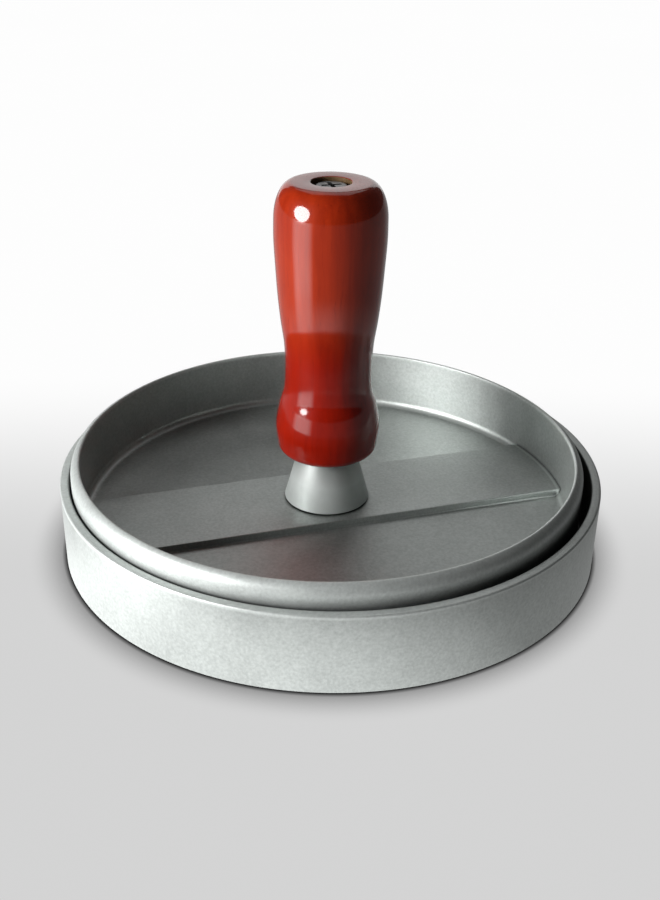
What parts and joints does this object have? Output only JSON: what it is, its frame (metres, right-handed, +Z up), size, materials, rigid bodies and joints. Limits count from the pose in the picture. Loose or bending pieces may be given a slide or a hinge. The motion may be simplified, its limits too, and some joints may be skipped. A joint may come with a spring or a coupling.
{
  "type": "patty press",
  "caption": "Round two-part patty press: a straight-walled aluminium pan, a dished press plate that drops into it, and a turned wooden handle on a cone ferrule.",
  "frame": {"origin": "centre of the pan's flat underside, on the worktop", "axes": "+Z up along the pan's axis; +X along the raised band across the press plate's floor"},
  "size_m": [0.1256, 0.1256, 0.0855],
  "materials": {
    "pan_aluminium": "cast aluminium, fine matt grain",
    "plate_aluminium": "cast aluminium, fine matt grain, turned rim",
    "ferrule_aluminium": "turned, satin",
    "red_lacquered_wood": "red stained, gloss lacquer",
    "zinc_plated_steel": "bright zinc plating",
    "spring_steel": "plain spring steel"
  },
  "bodies": {
    "pan": {"base_pan": "pan_aluminium"},
    "lift": {"handle_ferrule": "ferrule_aluminium"},
    "press": {"press_plate": "plate_aluminium", "handle_grip": "red_lacquered_wood"},
    "washers": {"flat_washer": "zinc_plated_steel", "lock_washer": "spring_steel"},
    "screw": {"handle_screw": "zinc_plated_steel"}
  },
  "joints": [
    {"name": "press_lift", "type": "slide", "parent": "pan", "child": "lift", "axis": [0, 0, 1], "range_m": [0, 0.06]},
    {"name": "press_turn", "type": "hinge", "parent": "lift", "child": "press", "pos_m": [-0.00094, -0.00015, 0], "axis": [0, 0, 1], "continuous": true},
    {"name": "screw_travel", "type": "slide", "parent": "press", "child": "washers", "axis": [0, 0, 1], "range_m": [0, 0.00315]},
    {"name": "screw_turn", "type": "hinge", "parent": "washers", "child": "screw", "pos_m": [-0.00094, -0.00015, 0], "axis": [0, 0, 1], "range_deg": [0, 1620.5]}
  ],
  "couplings": [
    {"joint": "screw_turn", "follows": "screw_travel", "rad_per_m": 8976}
  ]
}
